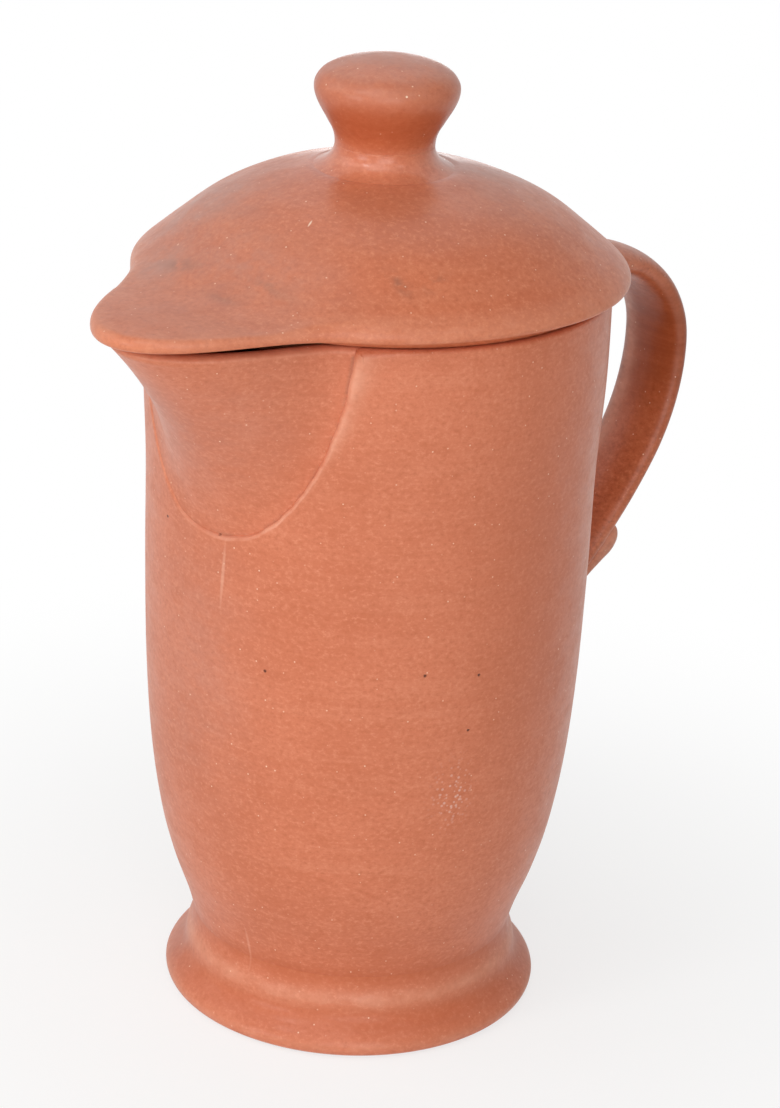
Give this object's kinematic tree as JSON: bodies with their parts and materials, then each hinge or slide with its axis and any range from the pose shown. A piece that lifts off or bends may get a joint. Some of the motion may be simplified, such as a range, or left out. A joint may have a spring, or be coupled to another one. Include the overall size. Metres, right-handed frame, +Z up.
{
  "type": "water jug",
  "caption": "Hand-made terracotta water jug: tall round body on a flared foot, a spout let into the rim, a strap handle, and a domed lid with a beak and a waisted knob.",
  "frame": {"origin": "centre of the flat underside, on the jug's own axis", "axes": "+Z is up along the jug's axis, the spout points towards -Y, the handle stands out on the +Y side, 172 degrees round from the spout"},
  "size_m": [0.1326, 0.2106, 0.2702],
  "materials": {
    "burnished_terracotta": "unglazed burnished terracotta, low sheen",
    "handle_terracotta": "unglazed burnished terracotta, a little deeper in colour",
    "plain_terracotta": "unglazed unburnished terracotta, matt"
  },
  "bodies": {
    "jug": {"body_wall": "burnished_terracotta", "foot_ring": "burnished_terracotta", "spout": "burnished_terracotta", "handle_strap": "handle_terracotta", "handle_lug": "handle_terracotta"},
    "lid_ring": {"lid_flange": "plain_terracotta"},
    "lid": {"lid_shell": "burnished_terracotta", "lid_knob": "burnished_terracotta"}
  },
  "joints": [
    {"name": "lid_lift", "type": "slide", "parent": "jug", "child": "lid_ring", "axis": [0, 0, 1], "range_m": [0, 0.08]},
    {"name": "lid_turn", "type": "hinge", "parent": "lid_ring", "child": "lid", "pos_m": [0, 0, 0.2106], "axis": [0, 0, 1], "continuous": true}
  ]
}
